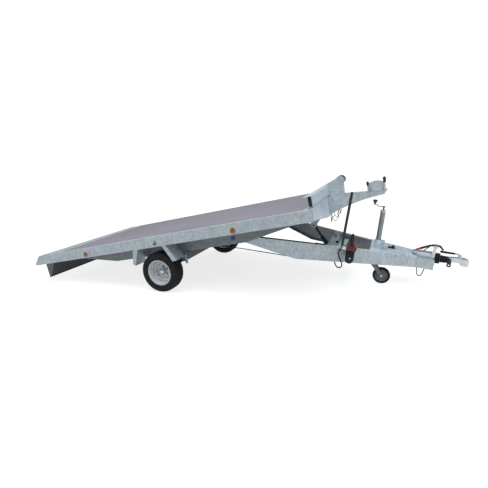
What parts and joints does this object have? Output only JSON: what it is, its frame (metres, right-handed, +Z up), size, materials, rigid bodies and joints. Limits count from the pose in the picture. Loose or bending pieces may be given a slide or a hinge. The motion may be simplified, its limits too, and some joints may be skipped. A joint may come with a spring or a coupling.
{
  "type": "tilt trailer",
  "caption": "Galvanised flat deck tilt trailer with side rails, V drawbar, hand pumped tilt ram, jockey wheel and ball coupling, deck raised at the nose.",
  "frame": {"origin": "middle of the ground under the whole trailer, half way along and across its box", "axes": "+X forward to the coupling, +Y to the left side, +Z up from the ground"},
  "size_m": [5.7869, 2.15, 1.3465],
  "materials": {
    "galvanised": "hot dip galvanised, spangled and dull",
    "bright_zinc": "bright zinc plate",
    "board": "brown film faced plywood",
    "wheel_silver": "silver paint",
    "tyre": "tyre rubber",
    "jockey_tyre": "solid rubber",
    "bellows_rubber": "soft rubber",
    "hose_rubber": "black hydraulic hose",
    "black_paint": "satin black paint",
    "rod_steel": "blackened steel",
    "black_plastic": "black plastic",
    "orange_lens": "orange reflector",
    "red_lens": "red lens"
  },
  "bodies": {
    "deck": {"floor_board": "board", "side_rail_right": "galvanised", "side_rail_left": "galvanised", "main_beam_right": "galvanised", "main_beam_left": "galvanised", "cross_members": "galvanised", "rear_plate": "galvanised", "rear_panel": "galvanised", "tail_lamps": "red_lens", "front_crossbeam": "galvanised", "front_stop": "galvanised", "boom": "galvanised", "winch_bracket": "galvanised", "rubber_caps": "black_plastic", "mudguards": "galvanised", "axle_tube": "galvanised", "ram_bracket": "galvanised", "pivot_fittings": "galvanised", "side_reflectors": "orange_lens"},
    "suspension_right": {"swing_arm_right": "galvanised"},
    "suspension_left": {"swing_arm_left": "galvanised"},
    "road_wheel_right": {"wheel_hub_right": "black_paint", "rim_right": "wheel_silver", "tyre_right": "tyre"},
    "road_wheel_left": {"wheel_hub_left": "black_paint", "rim_left": "wheel_silver", "tyre_left": "tyre"},
    "drawbar": {"drawbar_arm_right": "galvanised", "drawbar_arm_left": "galvanised", "drawbar_nose": "galvanised", "drawbar_crossmember": "galvanised", "jockey_plate": "bright_zinc", "jockey_outer_tube": "bright_zinc", "safety_loop": "bright_zinc", "coupling_head": "bright_zinc", "bellows": "bellows_rubber", "pump": "black_paint", "hydraulic_hose": "hose_rubber"},
    "coupling_lever": {"coupling_handle": "black_plastic"},
    "handbrake": {"handbrake_lever": "black_plastic"},
    "pump_handle": {"pump_lever": "black_paint"},
    "barrel": {"ram_barrel": "black_paint"},
    "rod": {"ram_rod": "rod_steel"},
    "jockey_leg": {"jockey_inner_tube": "bright_zinc"},
    "crank": {"jockey_crank": "bright_zinc"},
    "jockey_roller": {"jockey_wheel": "jockey_tyre"}
  },
  "joints": [
    {"name": "deck_tilt", "type": "hinge", "parent": "deck", "child": "drawbar", "pos_m": [0.25952, 0, 0.70029], "axis": [0, -1, 0], "range_deg": [-2, 17]},
    {"name": "suspension_right", "type": "hinge", "parent": "deck", "child": "suspension_right", "pos_m": [-0.52077, -0.82, 0.4001], "axis": [0, 1, 0], "range_deg": [-4, 9], "stiffness_Nm_per_rad": 5400, "springref_deg": -3.5},
    {"name": "suspension_left", "type": "hinge", "parent": "deck", "child": "suspension_left", "pos_m": [-0.52077, 0.82, 0.4001], "axis": [0, 1, 0], "range_deg": [-4, 9], "stiffness_Nm_per_rad": 5400, "springref_deg": -3.5},
    {"name": "road_wheel_right", "type": "hinge", "parent": "suspension_right", "child": "road_wheel_right", "pos_m": [-0.71519, -0.9625, 0.2625], "axis": [0, 1, 0], "continuous": true},
    {"name": "road_wheel_left", "type": "hinge", "parent": "suspension_left", "child": "road_wheel_left", "pos_m": [-0.71519, 0.9625, 0.2625], "axis": [0, 1, 0], "continuous": true},
    {"name": "ram_swing", "type": "hinge", "parent": "drawbar", "child": "barrel", "pos_m": [1.31147, 0, 0.3399], "axis": [0, -1, 0], "range_deg": [-4.18, 31.76]},
    {"name": "ram_extend", "type": "slide", "parent": "barrel", "child": "rod", "axis": [-0.5379, 0, 0.843], "range_m": [-0.1423, 0.0185]},
    {"name": "pump_lever", "type": "hinge", "parent": "drawbar", "child": "pump_handle", "pos_m": [1.4887, -0.445, 0.54452], "axis": [0, 1, 0], "range_deg": [-25, 20]},
    {"name": "handbrake", "type": "hinge", "parent": "drawbar", "child": "handbrake", "pos_m": [2.49825, -0.084, 0.3753], "axis": [0, 1, 0], "range_deg": [0, 80]},
    {"name": "coupling_handle", "type": "hinge", "parent": "drawbar", "child": "coupling_lever", "pos_m": [2.79657, 0, 0.35821], "axis": [0, 1, 0], "range_deg": [0, 50]},
    {"name": "jockey_height", "type": "slide", "parent": "drawbar", "child": "jockey_leg", "axis": [0.1305, 0, 0.9914], "range_m": [-0.04, 0.175]},
    {"name": "jockey_crank", "type": "hinge", "parent": "drawbar", "child": "crank", "pos_m": [1.93624, -0.11, 0.96369], "axis": [0.1305, 0, 0.9914], "continuous": true},
    {"name": "jockey_wheel", "type": "hinge", "parent": "jockey_leg", "child": "jockey_roller", "pos_m": [1.9291, -0.11, 0.105], "axis": [0, 1, 0], "continuous": true}
  ],
  "couplings": [
    {"joint": "ram_swing", "follows": "deck_tilt", "ratio": 1.839},
    {"joint": "ram_extend", "follows": "deck_tilt", "m_per_rad": -0.47269}
  ]
}
